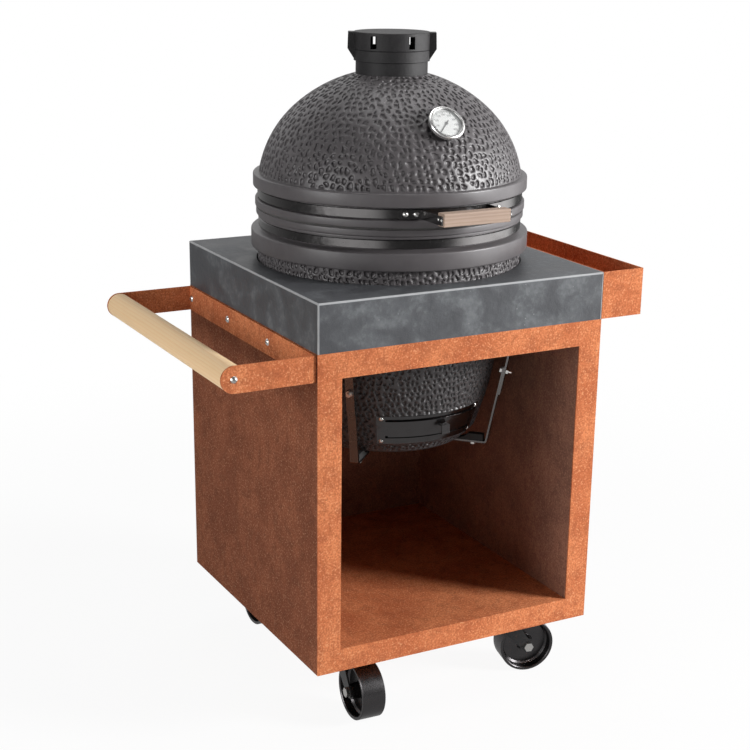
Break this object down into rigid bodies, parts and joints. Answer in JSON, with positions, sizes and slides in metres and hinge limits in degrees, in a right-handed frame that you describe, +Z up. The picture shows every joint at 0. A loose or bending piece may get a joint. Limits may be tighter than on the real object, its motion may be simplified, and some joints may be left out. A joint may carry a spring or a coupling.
{
  "type": "kamado grill table",
  "caption": "Ceramic kamado grill hung in a square worktop on a rusted steel cabinet with storage bay, side tray, push handle and swivel casters.",
  "frame": {"origin": "centre of the whole object's footprint box, on the floor", "axes": "+Z up, -Y towards the front with the storage opening, +X towards the side tray"},
  "size_m": [0.9589, 0.702, 1.4053],
  "materials": {
    "weathering_steel": "rusted weathering steel sheet",
    "worktop_stone": "matt slab",
    "stainless_bolts": "satin",
    "handle_steel": "rusted weathering steel strip",
    "pale_wood": "oiled",
    "hanger_steel": "polished stainless strip",
    "door_steel": "dark polished",
    "black_rubber": "matt",
    "caster_steel": "gloss black",
    "grill_ceramic": "dimpled matt glaze",
    "band_steel": "gloss black",
    "gasket_felt": "felt",
    "fire_clay": "rough",
    "grate_iron": "cast",
    "grate_steel": "satin",
    "polished_steel": "polished",
    "vent_iron": "black coated",
    "dark_metal": "satin",
    "dial_white": "printed",
    "clear_glass": "clear",
    "needle_black": "satin",
    "handle_wood": "oiled",
    "wheel_black": "gloss tread"
  },
  "bodies": {
    "cabinet": {"front_frame": "weathering_steel", "side_panel_left": "weathering_steel", "side_panel_right": "weathering_steel", "back_panel": "weathering_steel", "inner_wall_left": "weathering_steel", "inner_wall_right": "weathering_steel", "shelf_floor": "weathering_steel", "base_plate": "weathering_steel", "top_plate": "weathering_steel", "worktop_slab": "worktop_stone", "worktop_skirts": "worktop_stone", "side_tray": "weathering_steel", "panel_bolts": "stainless_bolts", "handle_bracket": "handle_steel", "handle_bar": "pale_wood", "hanger_brackets": "hanger_steel", "hanger_straps": "hanger_steel", "hanger_pads": "black_rubber", "hanger_bolts": "stainless_bolts", "caster_plates": "caster_steel", "caster_bolts": "caster_steel", "base_shell": "grill_ceramic", "base_band": "band_steel", "base_gasket": "gasket_felt", "fire_box": "fire_clay", "fire_ring": "fire_clay", "charcoal_grate": "grate_iron", "cooking_grate": "grate_steel", "door_frame": "door_steel", "door_screws": "stainless_bolts", "hinge_base": "band_steel", "hinge_pin": "grate_steel", "hinge_springs": "grate_steel"},
    "draft_door": {"draft_door": "door_steel"},
    "lid": {"lid_shell": "grill_ceramic", "lid_band": "band_steel", "lid_gasket": "gasket_felt", "hinge_arm": "band_steel", "vent_collar": "vent_iron", "thermometer_case": "dark_metal", "thermometer_bezel": "polished_steel", "thermometer_dial": "dial_white", "thermometer_lens": "clear_glass", "lid_handle": "handle_wood", "lid_handle_brackets": "band_steel", "lid_band_bolts": "stainless_bolts"},
    "vent_cap": {"vent_cap": "vent_iron"},
    "thermometer_needle": {"thermometer_needle": "needle_black"},
    "caster_front_left": {"fork_front_left": "caster_steel", "axle_front_left": "stainless_bolts"},
    "wheel_front_left": {"wheel_front_left": "wheel_black"},
    "caster_front_right": {"fork_front_right": "caster_steel", "axle_front_right": "stainless_bolts"},
    "wheel_front_right": {"wheel_front_right": "wheel_black"},
    "caster_rear_left": {"fork_rear_left": "caster_steel", "axle_rear_left": "stainless_bolts"},
    "wheel_rear_left": {"wheel_rear_left": "wheel_black"},
    "caster_rear_right": {"fork_rear_right": "caster_steel", "axle_rear_right": "stainless_bolts"},
    "wheel_rear_right": {"wheel_rear_right": "wheel_black"}
  },
  "joints": [
    {"name": "lid_hinge", "type": "hinge", "parent": "cabinet", "child": "lid", "pos_m": [0.0485, 0.338, 1.051], "axis": [-1, 0, 0], "range_deg": [0, 75], "deforming": ["hinge_springs"]},
    {"name": "vent_cap_turn", "type": "hinge", "parent": "lid", "child": "vent_cap", "pos_m": [0.0485, 0.007, 1.375], "axis": [0, 0, 1], "range_deg": [0, 30]},
    {"name": "thermometer_needle_turn", "type": "hinge", "parent": "lid", "child": "thermometer_needle", "pos_m": [0.0485, -0.21351, 1.236], "axis": [0, -0.7406, 0.672], "range_deg": [-270, 0]},
    {"name": "draft_door_slide", "type": "hinge", "parent": "cabinet", "child": "draft_door", "pos_m": [0.0485, 0.007, 0.605], "axis": [0, 0, 1], "range_deg": [-38, 32]},
    {"name": "swivel_front_left", "type": "hinge", "parent": "cabinet", "child": "caster_front_left", "pos_m": [-0.1415, -0.198, 0.14], "axis": [0, 0, 1], "continuous": true},
    {"name": "roll_front_left", "type": "hinge", "parent": "caster_front_left", "child": "wheel_front_left", "pos_m": [-0.14352, -0.25596, 0.0625], "axis": [0.9994, -0.0349, 0], "continuous": true},
    {"name": "swivel_front_right", "type": "hinge", "parent": "cabinet", "child": "caster_front_right", "pos_m": [0.2385, -0.198, 0.14], "axis": [0, 0, 1], "continuous": true},
    {"name": "roll_front_right", "type": "hinge", "parent": "caster_front_right", "child": "wheel_front_right", "pos_m": [0.29501, -0.21105, 0.0625], "axis": [0.225, 0.9744, 0], "continuous": true},
    {"name": "swivel_rear_left", "type": "hinge", "parent": "cabinet", "child": "caster_rear_left", "pos_m": [-0.1415, 0.212, 0.14], "axis": [0, 0, 1], "continuous": true},
    {"name": "roll_rear_left", "type": "hinge", "parent": "caster_rear_left", "child": "wheel_rear_left", "pos_m": [-0.1415, 0.27, 0.0625], "axis": [-1, 0, 0], "continuous": true},
    {"name": "swivel_rear_right", "type": "hinge", "parent": "cabinet", "child": "caster_rear_right", "pos_m": [0.2385, 0.212, 0.14], "axis": [0, 0, 1], "continuous": true},
    {"name": "roll_rear_right", "type": "hinge", "parent": "caster_rear_right", "child": "wheel_rear_right", "pos_m": [0.2842, 0.24771, 0.0625], "axis": [-0.6157, 0.788, 0], "continuous": true}
  ]
}
